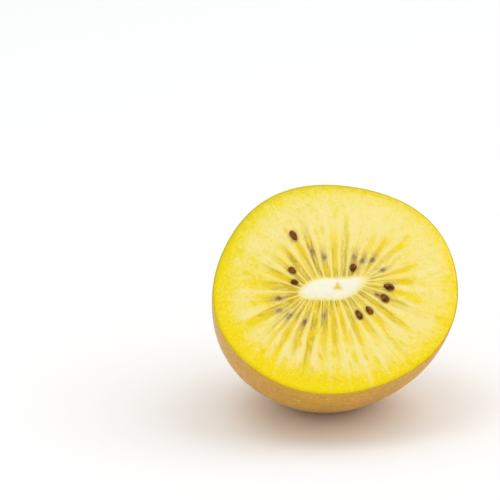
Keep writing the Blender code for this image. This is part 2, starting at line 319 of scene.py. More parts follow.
def ring_mesh(name, rows, masks, first_tip=None, last_tip=None, flow=None):
    """A mesh from rows of points, each row a closed ring. Tips are single points that close the ends.
    masks holds a number for each point of the rows, and flow a place for the streaks' noise. Tips take the
    mean of the row beside them."""
    count, around = rows.shape[:2]
    points = [rows.reshape(-1, 3)]
    row, column = np.meshgrid(np.arange(count - 1), np.arange(around), indexing="ij")
    beside = (column + 1) % around
    here, there = row * around, (row + 1) * around
    quads = np.stack([here + column, there + column, there + beside, here + beside], -1).reshape(-1, 4)
    faces = quads.tolist()
    total = count * around
    turn = np.arange(around)
    after = (turn + 1) % around
    ends = []
    if first_tip is not None:
        points.append(np.array([first_tip]))
        faces += np.stack([np.full(around, total), turn, after], -1).tolist()
        ends.append(0)
        total += 1
    if last_tip is not None:
        points.append(np.array([last_tip]))
        last = (count - 1) * around
        faces += np.stack([np.full(around, total), last + after, last + turn], -1).tolist()
        ends.append(count - 1)
    mesh = bpy.data.meshes.new(name)
    mesh.from_pydata(np.concatenate(points).tolist(), [], faces)
    for mask, values in masks.items():
        flat = np.concatenate([values.ravel(), [values[end].mean() for end in ends]])
        mesh.attributes.new(mask, "FLOAT", "POINT").data.foreach_set("value", flat.astype(np.float32))
    if flow is not None:
        flat = np.concatenate([flow.reshape(-1, 3)] + [flow[end].mean(0)[None] for end in ends])
        places = mesh.attributes.new("flow", "FLOAT_VECTOR", "POINT")
        places.data.foreach_set("vector", flat.astype(np.float32).ravel())
    mesh.shade_smooth()
    return mesh


def add_piece(name, mesh, material):
    """Puts a mesh into the scene as a piece that rides on the fruit and stands for its solid."""
    piece = bpy.data.objects.new(name, mesh)
    bpy.context.scene.collection.objects.link(piece)
    mesh.materials.append(material)
    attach(piece, "root")
    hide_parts(NODE)
    return piece


# Materials

def linear(red, green, blue):
    """Scene-linear colour from the usual 0 to 255 numbers."""
    shares = [value / 255 for value in (red, green, blue)]
    return (*[v / 12.92 if v <= 0.04045 else ((v + 0.055) / 1.055) ** 2.4 for v in shares], 1)


PALE_FLESH = linear(250, 231, 150)
GOLDEN_FLESH = linear(250, 222, 0)
LEMON_FLESH = linear(240, 222, 16)
OLIVE_RIM = linear(212, 186, 4)
OLIVE_CHAMBER = linear(206, 182, 50)
GOLDEN_CHAMBER = linear(226, 198, 26)
OLIVE_LINE = linear(160, 134, 36)
GOLDEN_LINE = linear(182, 150, 16)
GREEN_SPOT = linear(237, 218, 0)
GOLDEN_SPOT = linear(237, 205, 0)
AMBER = linear(234, 184, 10)
RIM_GRAIN = linear(236, 204, 0)
RAY = linear(248, 232, 162)
# Grey-brown for the smear of seeds seen through the flesh, and for the painted shade round the proud seeds
SEED_SMEAR_AND_SHADE = linear(196, 166, 112)
VEILED_SEED = linear(116, 86, 56)
CORE_EDGE = linear(249, 233, 156)
CORE = linear(250, 244, 220)
CORE_SPOT = linear(228, 204, 74)
# The skin's colours come in pairs: low on the fruit, and high on it. The high ones are partly a sun blush and
# partly painted light, lighter and paler on the top where light falls
SKIN_DEEP = (linear(208, 155, 40), linear(204, 160, 66))
SKIN_LIGHT = (linear(224, 168, 58), linear(226, 184, 96))
SKIN_OLIVE = (linear(204, 154, 40), linear(206, 172, 62))
SKIN_BLUSH = (linear(226, 160, 72), linear(232, 172, 100))
SKIN_GRAIN = linear(168, 128, 24)
SPECKLE = linear(244, 208, 126)
LIP_AMBER = linear(226, 164, 30)
# The lip's colour at the top of the cut: a green-yellow tint, lightened as painted light over the shade of
# the edge
LIP_GREEN_AND_PAINTED_LIGHT = linear(230, 208, 74)
STEM_END = linear(128, 94, 50)
SEED_DARK = linear(68, 34, 0)
SEED_BROWN = linear(100, 54, 0)
SEED_PALE = linear(150, 88, 24)
SCAR_DARK = linear(120, 82, 46)
SCAR_PALE = linear(190, 146, 98)
SCAR_CRACK = linear(78, 50, 28)


class Nodes:
    """Short ways to build one material's node tree."""

    def __init__(self, name):
        self.material = bpy.data.materials.new(name)
        self.material.use_nodes = True
        self.tree = self.material.node_tree
        self.shader = self.tree.nodes["Principled BSDF"]

    def put(self, value, socket):
        if isinstance(value, bpy.types.NodeSocket):
            self.tree.links.new(value, socket)
        else:
            socket.default_value = value

    def mask(self, name):
        node = self.tree.nodes.new("ShaderNodeAttribute")
        node.attribute_name = name
        return node.outputs["Fac"]

    def vector(self, name):
        node = self.tree.nodes.new("ShaderNodeAttribute")
        node.attribute_name = name
        return node.outputs["Vector"]

    def place(self, stretch=(1, 1, 1)):
        where = self.tree.nodes.new("ShaderNodeTexCoord")
        node = self.tree.nodes.new("ShaderNodeMapping")
        node.inputs["Scale"].default_value = stretch
        self.tree.links.new(where.outputs["Object"], node.inputs["Vector"])
        return node.outputs["Vector"]

    def warped(self, scale, amount):
        """Places shifted this way and that by fine noise, so that what is drawn on them is uneven."""
        fine = self.tree.nodes.new("ShaderNodeTexNoise")
        fine.inputs["Scale"].default_value = scale
        self.tree.links.new(self.place(), fine.inputs["Vector"])
        shift = self.tree.nodes.new("ShaderNodeVectorMath")
        shift.operation = "MULTIPLY_ADD"
        self.tree.links.new(fine.outputs["Color"], shift.inputs[0])
        shift.inputs[1].default_value = (amount, amount, amount)
        self.tree.links.new(self.place(), shift.inputs[2])
        return shift.outputs["Vector"]

    def noise(self, scale, detail=3, roughness=0.5, where=None):
        node = self.tree.nodes.new("ShaderNodeTexNoise")
        node.inputs["Scale"].default_value = scale
        node.inputs["Detail"].default_value = detail
        node.inputs["Roughness"].default_value = roughness
        self.tree.links.new(where or self.place(), node.inputs["Vector"])
        return node.outputs["Fac"]

    def cells(self, scale, randomness=1.0, where=None):
        node = self.tree.nodes.new("ShaderNodeTexVoronoi")
        node.inputs["Scale"].default_value = scale
        node.inputs["Randomness"].default_value = randomness
        self.tree.links.new(where or self.place(), node.inputs["Vector"])
        return node.outputs["Distance"]

    def math(self, operation, first, second=0.0, clamp=False):
        node = self.tree.nodes.new("ShaderNodeMath")
        node.operation = operation
        node.use_clamp = clamp
        self.put(first, node.inputs[0])
        self.put(second, node.inputs[1])
        return node.outputs[0]

    def step(self, value, low, high, to_low=0.0, to_high=1.0):
        """A soft step from to_low at low to to_high at high."""
        node = self.tree.nodes.new("ShaderNodeMapRange")
        node.interpolation_type = "SMOOTHSTEP"
        self.put(value, node.inputs["Value"])
        for name, number in zip(("From Min", "From Max", "To Min", "To Max"), (low, high, to_low, to_high)):
            node.inputs[name].default_value = number
        return node.outputs["Result"]

    def mix(self, share, first, second):
        node = self.tree.nodes.new("ShaderNodeMix")
        node.data_type = "RGBA"
        self.put(share, node.inputs[0])
        self.put(first, node.inputs[6])
        self.put(second, node.inputs[7])
        return node.outputs[2]

    def bump(self, height, distance, below=None):
        node = self.tree.nodes.new("ShaderNodeBump")
        node.inputs["Strength"].default_value = 1.0
        node.inputs["Distance"].default_value = distance
        self.put(height, node.inputs["Height"])
        if below is not None:
            self.put(below, node.inputs["Normal"])
        return node.outputs["Normal"]

    def set(self, **sockets):
        for name, value in sockets.items():
            self.put(value, self.shader.inputs[name.replace("_", " ")])
        return self.material


def flesh_material():
    n = Nodes("kiwi_flesh")
    flow = n.vector("flow")
    hair = n.noise(58, 3, 0.6, flow)
    worm = n.noise(30, 2, 0.55, flow)
    strand = n.noise(24, 3, 0.65, flow)
    grain = n.noise(1900, 3, 0.6)
    coarse = n.noise(450, 3, 0.55)
    granules = n.cells(2200, 1.0)
    gold = n.math("ADD", n.mask("gold"), n.step(n.mask("gold"), 0.92, 1.0, 0.0, 0.08))
    gold = n.math("ADD", gold, n.math("MULTIPLY", n.math("SUBTRACT", coarse, 0.5), 0.12))
    gold = n.math("ADD", gold, n.math("MULTIPLY", n.math("SUBTRACT", grain, 0.5), 1.2))
    gold = n.math("ADD", gold, n.math("MULTIPLY", n.math("SUBTRACT", hair, 0.5), 0.45))
    gold = n.math("ADD", gold, n.math("MULTIPLY", n.math("SUBTRACT", granules, 0.42), 0.55), clamp=True)
    golden = n.mix(n.mask("lemon"), GOLDEN_FLESH, LEMON_FLESH)
    colour = n.mix(gold, PALE_FLESH, golden)
    rim_grain = n.math("MULTIPLY", n.step(grain, 0.48, 0.66), n.step(n.mask("gold"), 0.5, 1.0, 0.0, 0.50))
    colour = n.mix(rim_grain, colour, RIM_GRAIN)
    colour = n.mix(n.math("MULTIPLY", n.mask("olive_rim"), 0.8), colour, OLIVE_RIM)
    inside = n.mix(n.mask("ripe"), OLIVE_CHAMBER, GOLDEN_CHAMBER)
    inside = n.mix(n.step(strand, 0.50, 0.64, 0.0, 0.7), inside, PALE_FLESH)
    colour = n.mix(n.mask("chamber"), colour, inside)
    line = n.mix(n.mask("ripe"), OLIVE_LINE, GOLDEN_LINE)
    streaks = n.math("MULTIPLY", n.mask("lines"), n.step(strand, 0.57, 0.43, 0.10, 0.90))
    colour = n.mix(streaks, colour, line)
    fleck = n.step(n.math("ADD", worm, n.math("MULTIPLY", n.mask("fleck"), 0.14)), 0.68, 0.84, 0.0, 0.4)
    colour = n.mix(fleck, colour, GOLDEN_SPOT)
    spot = n.math("MULTIPLY", n.mask("spot"), n.step(grain, 0.30, 0.55, 0.7, 1.0))
    spot = n.math("MULTIPLY", spot, n.step(strand, 0.40, 0.60, 1.0, 0.80))
    colour = n.mix(spot, colour, n.mix(n.mask("spot_gold"), GREEN_SPOT, GOLDEN_SPOT))
    colour = n.mix(n.math("MULTIPLY", n.mask("amber"), n.step(coarse, 0.35, 0.60, 0.2, 0.8)), colour, AMBER)
    # Seeds seen through the flesh, and painted shade round the proud seeds
    colour = n.mix(n.mask("seed_smear_and_shade"), colour, SEED_SMEAR_AND_SHADE)
    colour = n.mix(n.mask("veil"), colour, VEILED_SEED)
    colour = n.mix(n.math("MULTIPLY", n.mask("ray"), n.step(hair, 0.30, 0.55, 0.45, 0.9)), colour, RAY)
    colour = n.mix(n.step(n.mask("core"), 0.0, 0.55), colour, CORE_EDGE)
    colour = n.mix(n.step(n.mask("core"), 0.35, 1.0), colour, CORE)
    colour = n.mix(n.mask("core_spot"), colour, CORE_SPOT)
    rough = n.step(n.noise(900, 2), 0.3, 0.7, 0.34, 0.50)
    normal = n.bump(n.noise(2400, 3, 0.6), 0.00005)
    normal = n.bump(granules, 0.00005, normal)
    return n.set(
        Base_Color=colour, Roughness=rough, Normal=normal, IOR=1.36, Subsurface_Weight=0.4,
        Subsurface_Radius=(1.0, 0.72, 0.18), Subsurface_Scale=0.0010, Specular_IOR_Level=0.25,
    )


def skin_material():
    n = Nodes("kiwi_skin")
    patches = n.noise(150, 3, 0.6)
    # The upper side takes lighter, paler colours: partly a blush, partly painted light from above
    upper_blush_and_painted_light = n.mask("upper_blush_and_painted_light")
    deep = n.mix(upper_blush_and_painted_light, *SKIN_DEEP)
    light = n.mix(upper_blush_and_painted_light, *SKIN_LIGHT)
    colour = n.mix(n.step(patches, 0.30, 0.70), deep, light)
    olive = n.step(n.noise(75, 2), 0.50, 0.72, 0.0, 0.55)
    colour = n.mix(olive, colour, n.mix(upper_blush_and_painted_light, *SKIN_OLIVE))
    blush = n.noise(90, 3, 0.55, n.place((0.8, 1.0, 0.6)))
    colour = n.mix(n.step(blush, 0.45, 0.72, 0.0, 0.50), colour, n.mix(upper_blush_and_painted_light, *SKIN_BLUSH))
    fine = n.noise(1100, 4, 0.65)
    colour = n.mix(n.step(fine, 0.35, 0.62, 0.40, 0.0), colour, SKIN_GRAIN)
    dot = n.step(n.cells(900, 1.0, where=n.warped(1500, 0.0006)), 0.12, 0.30, 1.0, 0.0)
    dot = n.math("MULTIPLY", dot, n.step(n.noise(300, 2), 0.42, 0.60, 0.35, 1.0))
    speck = n.step(n.cells(1700, 1.0, where=n.warped(2400, 0.0004)), 0.14, 0.36, 0.7, 0.0)
    speck = n.math("MULTIPLY", speck, n.step(n.noise(220, 2), 0.45, 0.60))
    dot = n.math("MAXIMUM", dot, speck)
    colour = n.mix(n.math("MULTIPLY", dot, 0.64), colour, SPECKLE)
    # The lip is amber, and green-yellow at the top, where painted light lifts it over its shade
    lip = n.mix(n.mask("lip_green_and_painted_light"), LIP_AMBER, LIP_GREEN_AND_PAINTED_LIGHT)
    colour = n.mix(n.mask("lip"), colour, lip)
    colour = n.mix(n.mask("stem"), colour, STEM_END)
    normal = n.bump(n.math("ADD", fine, n.math("MULTIPLY", dot, 0.8)), 0.00005)
    rough = n.step(fine, 0.3, 0.7, 0.54, 0.42)
    return n.set(
        Base_Color=colour, Roughness=rough, Normal=normal, IOR=1.42, Specular_IOR_Level=0.36,
        Subsurface_Weight=0.25, Subsurface_Radius=(1.0, 0.6, 0.2), Subsurface_Scale=0.0008,
        Sheen_Weight=0.10, Sheen_Roughness=0.30,
    )


def seed_material():
    n = Nodes("kiwi_seed")
    tone = n.noise(900, 2)
    colour = n.mix(n.mask("tone"), SEED_DARK, SEED_BROWN)
    colour = n.mix(n.step(tone, 0.42, 0.62, 0.0, 0.8), colour, SEED_PALE)
    pits = n.cells(5200, 0.8)
    normal = n.bump(pits, 0.00001)
    return n.set(
        Base_Color=colour, Roughness=n.step(pits, 0.1, 0.6, 0.08, 0.14), Normal=normal, IOR=1.45,
        Specular_IOR_Level=0.20,
    )


def scar_material():
    n = Nodes("kiwi_stem_scar")
    fibre = n.noise(1400, 4, 0.7)
    colour = n.mix(fibre, SCAR_DARK, SCAR_PALE)
    colour = n.mix(n.step(n.noise(1000, 2), 0.50, 0.68, 0.0, 0.8), colour, SCAR_CRACK)
    rough = n.step(fibre, 0.3, 0.7, 0.75, 0.95)
    return n.set(Base_Color=colour, Roughness=rough, Normal=n.bump(fibre, 0.00015))


# Flesh

def chamber_tables():
    """For each ray and chamber: where it ends, how strong it is, and how golden it is."""
    draw = np.random.default_rng(11)
    middle = ray_bearing(np.arange(RAYS)) + SECTION_ROLL
    low_side = 0.5 - 0.5 * np.sin(middle)
    low_left = (0.5 + 0.5 * np.cos(middle - math.radians(225))) ** 8
    return {
        "end": CHAMBER_END - 0.03 + 0.10 * low_side + 0.08 * low_left + draw.uniform(-0.14, 0.14, RAYS),
        "ripe": np.clip(0.12 + 0.60 * low_side + draw.uniform(-0.25, 0.25, RAYS), 0, 1),
        "depth": draw.uniform(0.35, 1.0, RAYS),
        "dash": draw.uniform(0.2, 1.0, RAYS),
        "tip": draw.uniform(0.1, 1.0, RAYS),
        "wide": draw.uniform(0.7, 1.25, RAYS),
        "lean": draw.uniform(-0.07, 0.07, RAYS),
        "ray": draw.uniform(0.4, 1.0, RAYS),
        "minor": np.clip(draw.uniform(-1.0, 1.0, RAYS), 0, 1),
        "minor_lean": draw.uniform(-0.18, 0.18, RAYS),
        "ray_end": 0.64 + 0.12 * low_side + draw.uniform(-0.12, 0.18, RAYS),
    }


def ray_place(reach, turn):
    """Rays passed since the first one: whole numbers are rays, and halves are the middles of the chambers.
    A straight ray crosses bearings fastest near the core, where a bearing is narrow."""
    near = 0.001
    core_width = np.linalg.norm(core_edge(turn + near) - core_edge(turn - near), axis=-1)
    rim_width = np.linalg.norm(section(turn + near) - section(turn - near), axis=-1)
    narrow = core_width / rim_width
    nearness = (1 - reach) * narrow / ((1 - reach) * narrow + reach)
    measured = (1 - RAY_MEASURE_REACH) * narrow / ((1 - RAY_MEASURE_REACH) * narrow + RAY_MEASURE_REACH)
    bearing = turn
    for _ in range(RAY_DRIFT_STEPS):
        swing = RAY_DRIFT + RAY_DRIFT_SWING * np.cos(2 * (bearing - RAY_DRIFT_BEARING))
        bearing = turn - swing * (nearness - measured)
    bearings = ray_bearing(np.arange(RAYS + 1))
    first = bearings[0]
    return np.interp((bearing - first) % TURN + first, bearings, np.arange(RAYS + 1))


def seed_places():
    """(x, y, turn, length, width, share standing proud) of each seed, in metres and radians."""
    return [
        (x * MILLIMETRE, y * MILLIMETRE, math.radians(turn), length * MILLIMETRE, width * MILLIMETRE, proud)
        for x, y, turn, length, width, proud in SEEDS
    ]


def view_axes():
    """The camera's right and up, and the way back to it."""
    level = math.cos(CAMERA_ELEVATION)
    sideways, onward = math.sin(CAMERA_AZIMUTH), math.cos(CAMERA_AZIMUTH)
    back = Vector((sideways * level, -onward * level, math.sin(CAMERA_ELEVATION)))
    right = Vector((onward, sideways, 0))
    return right, back.cross(right), back


def face_place(pixel_x, pixel_y):
    """The place on the cut face that the picture shows at a pixel."""
    right, up, _ = view_axes()
    lean = Matrix.Rotation(FACE_LEAN, 3, "X")
    face_axes = (lean @ Vector((1, 0, 0)), lean @ Vector((0, 1, 0)))
    seen = [[side.dot(axis) for axis in face_axes] for side in (right, up)]
    offset = np.array([pixel_x - FACE_PIXEL[0], FACE_PIXEL[1] - pixel_y]) * FRAME_WIDTH / FRAME_PIXELS
    return np.linalg.solve(seen, offset)


def make_flesh(seeds):
    """The cut face, with its rays, chambers and core, on a body that fills the skin."""
    bearing = np.linspace(0, TURN, FACE_SEGMENTS, endpoint=False)
    core_share = np.arange(1, CORE_RINGS) / CORE_RINGS
    reaches = np.concatenate([np.zeros(CORE_RINGS - 1), np.linspace(0, 1, FLESH_RINGS + 1)])
    shares = np.concatenate([core_share, np.ones(FLESH_RINGS + 1)])
    reach, turn = np.meshgrid(reaches, bearing, indexing="ij")
    share = np.repeat(shares[:, None], FACE_SEGMENTS, 1)

    plan = flesh_plan(reach, turn)
    core_plan = core_middle() + (core_edge(turn) - core_middle()) * share[..., None]
    plan = np.where(share[..., None] < 1, core_plan, plan)
    x, y = plan[..., 0], plan[..., 1]
    step = np.linalg.norm(np.roll(plan, -1, 1) - plan, axis=-1)
    out = np.linalg.norm(plan - core_edge(turn), axis=-1)
    angle = np.arctan2(y, x)

    table = chamber_tables()
    around = turn / TURN
    wobble = 0.05 * lattice_noise(around * 17, reach * 2.2, 21, 17) * smooth(reach * 3)
    place = ray_place(reach, turn) + wobble
    ahead = np.roll(place, -1, 1) - place
    width = step / np.where(ahead < 0, ahead + RAYS, ahead)
    cell = np.floor(place).astype(int) % RAYS
    across = place - np.floor(place) - 0.5
    nearest = np.rint(place)
    ray_cell = nearest.astype(int) % RAYS
    ray_off = np.abs(place - nearest) * width

    streak = cloudy(place * 2, reach * 3.5, 31, RAYS * 2, 3)
    thread = cloudy(place * 3, reach * 2.6, 37, RAYS * 3, 2)
    fine_thread = cloudy(place * 7, reach * 5, 39, RAYS * 7, 2)
    broad = cloudy(place * 2, reach * 2.4, 43, RAYS * 2, 3)
    fibre = cloudy(place * 9, reach * 9, 41, RAYS * 9, 2)
    mottle = cloudy(around * 130, reach * 22, 51, 130, 3)
    fine_mottle = cloudy(around * 300, reach * 46, 57, 300, 2)
    slow = cloudy(x / 0.006 + 20, y / 0.006 + 20, 61, octaves=2)

    flesh = (share >= 1).astype(float)
    progress = reach / (table["end"][cell] * (1 + 0.16 * thread))
    taper = smooth((1.15 - progress) / 0.55)
    half = (0.43 - 0.24 * np.clip(progress, 0, 1.2) ** 1.3) * table["wide"][cell] + 0.09 * streak
    aside = np.abs(across - table["lean"][cell])
    inner = half - aside
    inside = smooth(inner / 0.20 + 0.45) * flesh
    patch = 0.55 + 0.6 * smooth(0.5 + 0.9 * cloudy(x / 0.0032 + 30, y / 0.0032 + 30, 131, octaves=2))
    chamber = inside * taper * (0.45 + 0.55 * table["depth"][cell])
    chamber = chamber * (0.60 + 0.55 * smooth(thread * 1.2 + 0.5))
    shade = 1.0 + 0.20 * np.cos(angle - math.radians(200))
    upper_right = np.exp(-(((angle - math.radians(30)) / 0.7) ** 2))
    shade = shade + 0.55 * np.exp(-reach / 0.16) * (1 - 0.6 * upper_right)
    for bearing_middle, bearing_spread, deeper in DEEP_SECTORS:
        away = (angle - math.radians(bearing_middle) + math.pi) % TURN - math.pi
        shade = shade + deeper * np.exp(-((away / math.radians(bearing_spread)) ** 2))
    patch = patch * shade
    chamber = chamber * patch
    lines = smooth((0.6 * thread + 0.85 * fine_thread + 0.02) / 0.32)
    lines = lines * smooth((0.80 + 0.6 * streak - progress) / 0.6)
    lines = lines * inside * smooth(out / 0.0010) * (0.50 + 0.50 * table["depth"][cell]) * patch
    dash_length = smooth((progress - 0.45) / 0.3) * smooth((1.55 - progress) / 0.3)
    dash = np.exp(-((aside * width / 0.00026) ** 2)) * dash_length
    broken = lattice_noise(place + 0.5 * RAYS, reach * 16, 141)
    dash = dash * table["dash"][cell] * smooth(0.35 + 1.6 * broken)

    ray_half = (0.00017 + 0.00026 * smooth(reach / 0.5)) * (0.65 + 0.5 * table["ray"][ray_cell])
    ray_fade = 1 - smooth((reach - table["ray_end"][ray_cell] + 0.18) / 0.36)
    ray = np.exp(-((ray_off / ray_half) ** 2)) * ray_fade * table["ray"][ray_cell]
    minor_sway = 0.06 * lattice_noise(place, reach * 3, 73)
    minor_off = np.abs(across - table["minor_lean"][cell] - minor_sway) * width
    minor = np.exp(-((minor_off / 0.00015) ** 2)) * table["minor"][cell] * (1 - smooth((reach - 0.10) / 0.30))
    ray = np.maximum(ray, 0.75 * minor)
    outer_ray = smooth(cloudy(place * 2, reach * 1.5, 71, RAYS * 2, 3) * 1.8 + 0.1)
    outer_ray = outer_ray * smooth((reach - 0.10) / 0.35) * (1 - smooth((reach - 0.58) / 0.34)) * 0.6
    ray = np.clip(np.maximum(ray, outer_ray) * (0.82 + 0.4 * fibre), 0, 1) * flesh

    tip = np.exp(-(((progress - 0.95) / 0.14) ** 2)) * smooth((0.26 - aside) / 0.18)
    spot = tip * table["tip"][cell] * (0.5 + 0.8 * smooth(streak + 0.5))
    draw = random.Random(5)
    for _ in range(SPOTS):
        spot_reach = draw.uniform(0.30, 0.88)
        spot_turn = draw.uniform(0, TURN)
        middle = flesh_plan(np.array([spot_reach]), np.array([spot_turn]))[0]
        size = draw.uniform(0.00022, 0.00058)
        low_left = math.cos(math.atan2(middle[1], middle[0]) - math.radians(240))
        strength = draw.uniform(0.3, 1.4) * (0.75 + 0.45 * low_left)
        towards = middle / np.linalg.norm(middle)
        radial = (x - middle[0]) * towards[0] + (y - middle[1]) * towards[1]
        sideways = (y - middle[1]) * towards[0] - (x - middle[0]) * towards[1]
        distance = (radial / draw.uniform(1.3, 3.0)) ** 2 + sideways**2
        spot = np.maximum(spot, strength * np.exp(-distance / size**2) * (1.2 + 1.6 * mottle))
    gold_marks = np.zeros_like(x)
    warp_x = x + 0.00028 * cloudy(x / 0.0006 + 110, y / 0.0006 + 110, 191, octaves=2)
    warp_y = y + 0.00028 * cloudy(x / 0.0006 + 140, y / 0.0006 + 140, 193, octaves=2)
    for start_x, start_y, end_x, end_y, mark_pixels, golden, strength in MARKS:
        start, end = face_place(start_x, start_y), face_place(end_x, end_y)
        mark_length = np.linalg.norm(end - start)
        cosine, sine = (end - start) / mark_length
        mark_x, mark_y = (start + end) / 2
        off_x, off_y = warp_x - mark_x, warp_y - mark_y
        along = (off_x * cosine + off_y * sine) / ((mark_length + MARK_OVERRUN) / 2)
        beside = (off_y * cosine - off_x * sine) / (mark_pixels * FRAME_WIDTH / FRAME_PIXELS / 2)
        mark = 1.6 * strength * (1 - smooth((np.hypot(along, beside) - 0.50) / 0.85)) * (1.0 + 0.6 * streak)
        spot = np.maximum(spot, mark)
        gold_marks = np.where(mark > 0.05, golden, gold_marks)
    spot = np.clip(np.maximum(spot, dash), 0, 1) * flesh
    spot_gold = np.clip(0.85 - smooth((reach - 0.35) / 0.25) + 0.3 * slow, 0, 1)
    spot_gold = np.maximum(spot_gold, gold_marks)
    fleck = smooth((reach - 0.12) / 0.25) * (1 - smooth((reach - 0.62) / 0.25)) * flesh
    fleck = fleck * (0.1 + 1.0 * smooth(0.4 + 1.4 * cloudy(x / 0.0040 + 50, y / 0.0040 + 50, 151, octaves=2)))
    way = place / RAYS * TURN
    flow = np.stack([np.cos(way), np.sin(way), reach * FLOW_STRETCH + share * 0.2], -1)

    lower_left = 0.5 + 0.5 * np.cos(angle - math.radians(228))
    rim_start = 0.79 - 0.15 * lower_left + 0.05 * slow + 0.02 * mottle
    gold = 0.10 + (0.82 + 0.22 * lower_left) * smooth((reach - rim_start) / (1.05 - rim_start))
    gold = gold + (0.22 * mottle + 0.26 * fine_mottle) * smooth((reach - 0.2) / 0.3)
    gold = gold + 0.12 * slow + 0.18 * lower_left
    right_side = smooth((np.cos(angle) - 0.60) / 0.30)
    gold = gold + 0.45 * np.exp(-(((reach - 0.53) / 0.08) ** 2)) * right_side * (0.7 + mottle + 0.6 * streak)
    gold = gold - 0.22 * np.exp(-(((reach - 0.63) / 0.13) ** 2)) * smooth(1.6 * np.abs(np.sin(angle)) - 0.4)
    beside_rays = (0.16 - ray) * smooth((reach - 0.32) / 0.15) * (1 - smooth((reach - 0.74) / 0.20))
    gold = gold + beside_rays * (0.25 + 0.65 * lower_left**4)
    gold = gold + 0.10 * lower_left**4 * smooth((reach - 0.4) / 0.2)
    between = (1 - smooth((np.abs(across) - 0.10) / 0.26)) * smooth((reach - 0.30) / 0.15)
    between = between * (1 - smooth((reach - 0.60) / 0.16)) * smooth(0.2 + 1.6 * fine_thread + 0.8 * streak)
    gold = gold + between * (0.80 * lower_left**4 + 0.60 * smooth(1.2 * np.cos(angle)))
    gold = gold + 0.40 * (1 - smooth((reach - 0.25) / 0.40))
    gold = gold + 0.40 * broad * (1 - smooth((reach - 0.70) / 0.25))
    gold = np.clip(gold, 0, 1)
    top_left = smooth(0.30 + 0.70 * np.cos(angle - math.radians(115)))
    olive_rim = smooth((reach - 0.92 + 0.02 * mottle) / 0.11) * (0.15 + 0.85 * top_left)
    lemon = smooth(0.30 + 0.80 * np.cos(angle - math.radians(112))) * smooth((reach - 0.25) / 0.4)

    inward = (1 - share) * np.linalg.norm(core_edge(turn) - core_middle(), axis=-1)
    from_edge = np.where(share < 1, -inward, out)
    endness = np.abs(np.cos(turn)) ** 3
    right_end = smooth((np.cos(turn) - 0.75) / 0.25)
    soft = 0.0014 + 0.0010 * endness + 0.0010 * right_end
    soft = soft + 0.0004 * np.exp(-((ray_off / 0.0003) ** 2)) * flesh
    core = 1 - smooth((from_edge + 0.55 * soft + 0.0008 * right_end + 0.00012 * streak) / (1.35 * soft))
    spot_x, spot_y = x - 0.00042, y + 0.00010
    spot_radius = np.hypot(spot_x, spot_y)
    spot_angle = np.arctan2(spot_y, spot_x)
    spot_ragged = 0.12 * cloudy(x / 0.0004, y / 0.0004, 81)
    spot_edge = 0.00112 * (1 + 0.26 * np.cos(3 * spot_angle - 4.5) + spot_ragged)
    amber = smooth(1.3 * cloudy(x / 0.0011 + 70, y / 0.0011 + 70, 161, octaves=2) - 0.15) * inside
    amber = 0.8 * amber * smooth(0.35 + 0.8 * np.cos(angle - math.radians(265)))
    amber = amber * (1 - smooth((reach - 0.10) / 0.22))
    amber_patches = smooth(0.8 * cloudy(x / 0.0022 + 90, y / 0.0022 + 90, 171) - 0.1)
    at_seeds = np.exp(-(((reach - 0.38) / 0.12) ** 2)) * amber_patches
    amber = np.maximum(amber, 0.8 * at_seeds * (0.4 + 0.6 * inside))
    core_spot = 0.9 * (1 - smooth((spot_radius - spot_edge * 0.30) / (spot_edge * 0.80)))

    relief = 0.00004 * ray - 0.00003 * chamber + 0.00002 * fibre * flesh - 0.00001 * lines
    relief = relief * smooth(out / 0.005)
    relief = relief + 0.000035 * mottle * smooth(reach * 3) + 0.00005 * core * (share >= 1)
    height = relief + FLESH_CROWN * np.sin(math.pi * smooth(reach))
    height = height - RIM_ROUNDING * smooth((reach - 1) / RIM_ROUNDING_LENGTH + 1)
    crown = CORE_RISE * (1 - share**CORE_CROWN_POWER) - CORE_PIT_DEPTH * core_spot
    height = height + np.where(share < 1, crown + 0.00002 * fibre * share**3, 0)

    veil = np.zeros_like(x)
    seed_smear_and_shade = np.zeros_like(x)
    for seed_x, seed_y, seed_turn, length, seed_width, proud in seeds:
        along = (x - seed_x) * math.cos(seed_turn) + (y - seed_y) * math.sin(seed_turn)
        beside = (y - seed_y) * math.cos(seed_turn) - (x - seed_x) * math.sin(seed_turn)
        distance = np.hypot(along / (length / 2), beside / (seed_width / 2))
        if proud > PROUD_SHARE:
            height = height - 0.00012 * np.exp(-(((distance - 1.05) / 0.25) ** 2))
            # Painted shade: a grey ring round each proud seed, where it meets the flesh
            seed_smear_and_shade = np.maximum(seed_smear_and_shade, 0.34 * np.exp(-(((distance - 1.0) / 0.20) ** 2)))
        else:
            strands = cloudy(beside / 0.00022 + 40, along / 0.0012 + 40, 121, octaves=2)
            blotch = cloudy(x / 0.00036 + 60, y / 0.00036 + 60, 181, octaves=2)
            ragged = distance * (1 + 0.20 * fibre + 0.35 * strands + 0.30 * blotch)
            smear = np.hypot(along / (length * 1.15), beside / (seed_width * 0.78))
            smear = smear * (1 + 0.7 * strands + 0.2 * blotch)
            seed_smear_and_shade = np.maximum(seed_smear_and_shade, 0.72 * (1 - smooth((smear - 0.20) / 0.85)))
            seen = (0.52 + proud) * (1 - smooth((ragged - 0.35) / 0.70))
            seen = seen * (0.55 + 0.60 * smooth(1.2 * blotch + 0.55))
            veil = np.maximum(veil, seen)
            height = height + 0.00014 * (1 - smooth(distance / 1.3))

